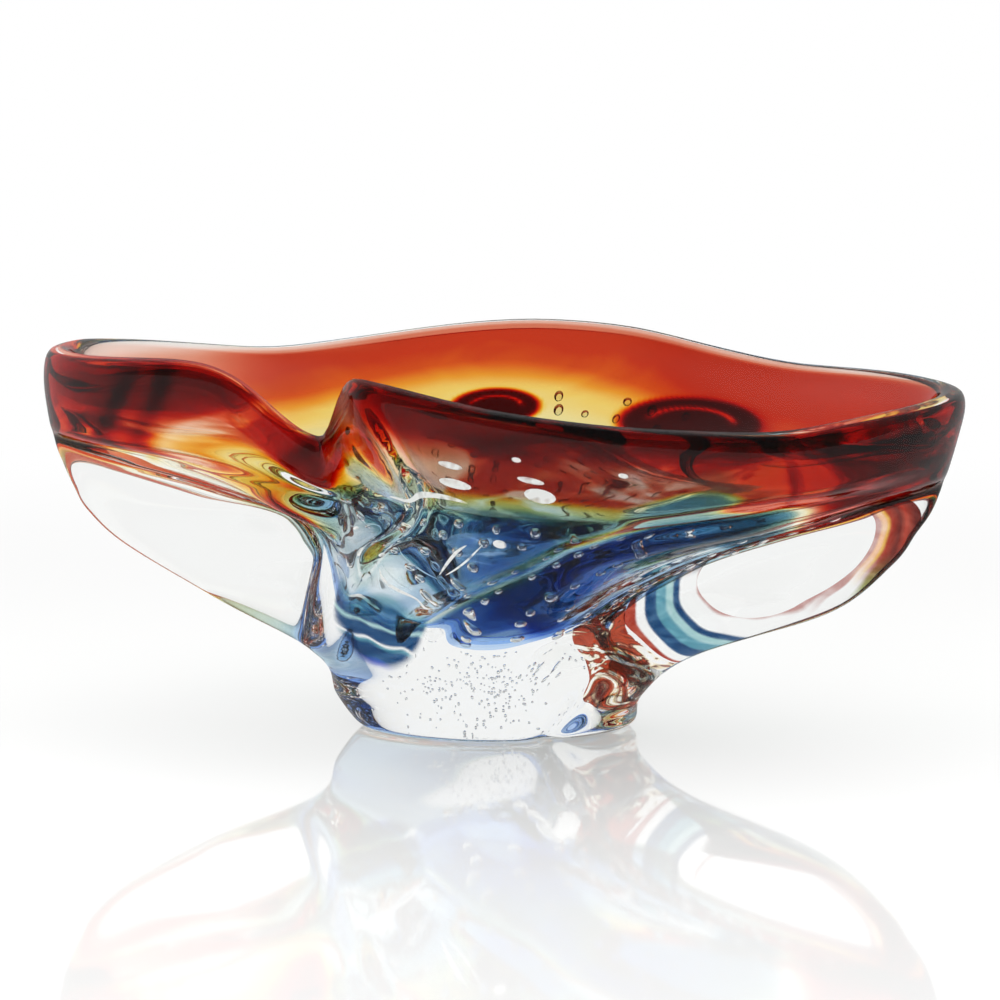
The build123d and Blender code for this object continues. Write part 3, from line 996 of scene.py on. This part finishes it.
def ribbon(name, middle, reach, tint, material, depth, hole=None):
    """A thin closed sheet in the middle plane of a fin, grown out from its middle.

    reach(turn) is its size in each direction and hole(turn) that of the hole in it."""
    around, steps = 240, 60
    turn = np.linspace(0, 2 * np.pi, around, endpoint=False)
    far = reach(turn)
    near = hole(turn) if hole else np.full(around, 0.4)
    if middle[0] > 0:
        tried = np.linspace(0, 1, 100)[:, None]
        r = near + (far - near) * tried
        good = inside_glass(middle[0] + r * np.cos(turn), middle[1] + r * np.sin(turn))
        run = good.cumprod(axis=0).sum(axis=0) / 100
        run = np.minimum(np.minimum(run, np.roll(run, 1)), np.roll(run, -1))
        far = near + (far - near) * np.maximum((np.roll(run, 1) + run + np.roll(run, -1)) / 3, 0.03)
    rows = []
    for side, shares in ((1, np.linspace(0, 1, steps)), (-1, np.linspace(1, 0, steps))):
        for share in shares:
            r = near + (far - near) * share
            x = middle[0] + r * np.cos(turn)
            z = middle[1] + r * np.sin(turn)
            y = -LEAN * x * ramp(15, 50, z) + depth + side * RIBBON / 2
            rows.append(np.stack([x, y, z], -1))
    points = np.concatenate(rows)
    faces = quads(2 * steps, around)
    last = (2 * steps - 1) * around
    if hole:
        faces += [(last + j, last + (j + 1) % around, (j + 1) % around, j) for j in range(around)]
    else:
        points = np.concatenate([points, [rows[0].mean(0)], [rows[-1].mean(0)]])
        faces += cap(0, len(points) - 2, around) + cap(last, len(points) - 1, around, flip=True)
    piece = make_object(name, points, faces, [material])
    colour = piece.data.attributes.new("tint", "FLOAT_COLOR", "POINT")
    value = np.ones((len(points), 4), np.float32)
    value[:, :3] = tint(points[:, 0], points[:, 2])
    colour.data.foreach_set("color", value.ravel())
    piece.visible_shadow = False
    return piece


def window_edge(turn):
    """Distance from the middle of the window to its edge."""
    a = np.cos(turn - WINDOW_TILT) / WINDOW_SIZE[0]
    b = np.sin(turn - WINDOW_TILT) / WINDOW_SIZE[1]
    return 1 / np.hypot(a, b)


def ring_reach(turn):
    """Outer size of the ribbons round the window: widest on the left."""
    return window_edge(turn) + np.interp(np.degrees(turn), *RIBBON_REACH, period=360)


def oval_reach(turn, size):
    """Distance from the middle of an oval to its edge."""
    return 1 / np.hypot(np.cos(turn) / size[0], np.sin(turn) / size[1])


def threads_reach(turn):
    """Outer size of the ruby threads, kept clear of the ribbons round the window."""
    full = oval_reach(turn, RUBY_SIZE)
    tried = full * np.linspace(0.1, 1, 40)[:, None]
    x = RUBY_MIDDLE[0] + tried * np.cos(turn)
    z = RUBY_MIDDLE[1] + tried * np.sin(turn)
    free = (window_distance(x, z)[0] > 27).cumprod(axis=0).sum(axis=0) / 40
    return full * np.maximum(free, 0.1)


def stripes_reach(turn):
    """Size of the striped swirl."""
    return oval_reach(turn, SWIRL_SIZE)


body = glass_body()
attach(body, "root")
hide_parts("clear_casing", "inner_lining")

joint = white_pass()
names = [band[0] for band in BANDS] + ["cobalt_cup"]
for place, name in enumerate(names):
    colour = name.split("_")[0]
    piece = colour_band(place, colour + "_layer", coloured_glass(colour + "_glass"), joint)
    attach(piece, "root")
    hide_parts(name)

tinted = ribbon_material("ribbon_glass", False)
marbled = ribbon_material("marbled_ruby", True)
window_ribbons = ribbon("window_ribbons", WINDOW, ring_reach, ribbon_tint, tinted, 0.0, window_edge)
ruby_threads = ribbon("ruby_threads", RUBY_MIDDLE, threads_reach, plain_tint, marbled, -4.0)
foot_swirl = ribbon("foot_swirl", SWIRL_MIDDLE, stripes_reach, stripe_tint, tinted, SWIRL_DEPTH)
for piece in (window_ribbons, ruby_threads, foot_swirl):
    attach(piece, "root")

# ---------------------------------------------------------------- studio


FLOOR_HALF = 30.0       # half the side of the floor, m
FLOOR_GAP = 0.0003      # how far the floor lies under the foot, m
LAMPS = (("key", (-0.6, -0.6, 1.0), 10), ("fill", (0.7, -0.3, 1.1), 7))
LAMP_SIZE = 0.5


def studio():
    """A pale floor that fades into white, a world darker in front, and two soft lamps."""
    mesh = bpy.data.meshes.new("floor")
    turns = ((-1, -1), (1, -1), (1, 1), (-1, 1))
    corners = [(i * FLOOR_HALF, j * FLOOR_HALF, -FLOOR_GAP) for i, j in turns]
    mesh.from_pydata(corners, [], [(0, 1, 2, 3)])
    floor = bpy.data.objects.new("floor", mesh)
    bpy.context.scene.collection.objects.link(floor)
    material, nodes, links = new_material("pale_floor")
    out = nodes.new("ShaderNodeOutputMaterial")
    gloss = node(nodes, "ShaderNodeBsdfPrincipled", Roughness=0.04)
    gloss.inputs["Base Color"].default_value = (0.77, 0.77, 0.765, 1)
    gloss.inputs["Specular IOR Level"].default_value = 0.5
    bright = node(nodes, "ShaderNodeEmission", Color=(1, 1, 1, 1), Strength=1.0)
    place = nodes.new("ShaderNodeTexCoord")
    length = nodes.new("ShaderNodeVectorMath")
    length.operation = "LENGTH"
    links.new(place.outputs["Object"], length.inputs[0])
    far = nodes.new("ShaderNodeMapRange")
    far.interpolation_type = "SMOOTHSTEP"
    far.inputs["From Min"].default_value = 0.15
    far.inputs["From Max"].default_value = 0.8
    links.new(length.outputs["Value"], far.inputs["Value"])
    mix = nodes.new("ShaderNodeMixShader")
    links.new(far.outputs[0], mix.inputs[0])
    links.new(gloss.outputs[0], mix.inputs[1])
    links.new(bright.outputs[0], mix.inputs[2])
    links.new(mix.outputs[0], out.inputs[0])
    mesh.materials.append(material)

    world = bpy.data.worlds.new("studio")
    bpy.context.scene.world = world
    world.use_nodes = True
    nodes, links = world.node_tree.nodes, world.node_tree.links
    nodes.clear()
    out = nodes.new("ShaderNodeOutputWorld")
    back = node(nodes, "ShaderNodeBackground", Strength=1.0)
    place = nodes.new("ShaderNodeTexCoord")
    split = nodes.new("ShaderNodeSeparateXYZ")
    links.new(place.outputs["Generated"], split.inputs[0])
    tone = nodes.new("ShaderNodeValToRGB")
    tone.color_ramp.elements[0].position = 0.30
    tone.color_ramp.elements[0].color = (0.31, 0.31, 0.31, 1)
    tone.color_ramp.elements[1].position = 0.62
    tone.color_ramp.elements[1].color = (1.0, 1.0, 1.0, 1)
    half_way = nodes.new("ShaderNodeMapRange")
    half_way.inputs["From Min"].default_value = -1
    links.new(split.outputs["Y"], half_way.inputs["Value"])
    links.new(half_way.outputs[0], tone.inputs[0])
    links.new(tone.outputs[0], back.inputs["Color"])
    plain = node(nodes, "ShaderNodeBackground", Color=(1, 1, 1, 1), Strength=1.0)
    path = nodes.new("ShaderNodeLightPath")
    mix = nodes.new("ShaderNodeMixShader")
    links.new(path.outputs["Is Camera Ray"], mix.inputs[0])
    links.new(back.outputs[0], mix.inputs[1])
    links.new(plain.outputs[0], mix.inputs[2])
    links.new(mix.outputs[0], out.inputs[0])

    for name, at, power in LAMPS:
        light = bpy.data.lights.new(name, "AREA")
        light.shape = "DISK"
        light.size = LAMP_SIZE
        light.energy = power
        lamp = bpy.data.objects.new(name, light)
        lamp.location = at
        towards = Vector((0, 0, 0.08)) - Vector(at)
        lamp.rotation_euler = towards.to_track_quat("-Z", "Y").to_euler()
        lamp.visible_glossy = False
        lamp.visible_transmission = False
        bpy.context.scene.collection.objects.link(lamp)


CAMERA_TILT = math.radians(8)
CAMERA_AWAY = 1.5       # m
FRAME_WIDE = 0.358      # width of what the camera sees at the bowl, m
SENSOR = 36.0
AIM_RIGHT = 0.00358     # where the camera aims, right of and above the middle of the foot, m
AIM_UP = 0.080192


def camera():
    """The camera, in front of the bowl and a little above it."""
    up = Vector((0, math.sin(CAMERA_TILT), math.cos(CAMERA_TILT)))
    target = Vector((AIM_RIGHT, 0, 0)) + up * AIM_UP
    lens = bpy.data.cameras.new("camera")
    lens.sensor_width = SENSOR
    lens.lens = SENSOR * CAMERA_AWAY / FRAME_WIDE
    made = bpy.data.objects.new("camera", lens)
    backwards = Vector((0, -math.cos(CAMERA_TILT), math.sin(CAMERA_TILT)))
    made.location = target + backwards * CAMERA_AWAY
    made.rotation_euler = (math.radians(90) - CAMERA_TILT, 0, 0)
    bpy.context.scene.collection.objects.link(made)
    bpy.context.scene.camera = made


studio()
camera()
scene = bpy.context.scene
scene.view_settings.view_transform = "Standard"
scene.cycles.max_bounces = 24
scene.cycles.transmission_bounces = 20
scene.cycles.transparent_max_bounces = 40
scene.cycles.glossy_bounces = 8
scene.cycles.caustics_reflective = False
scene.cycles.caustics_refractive = False
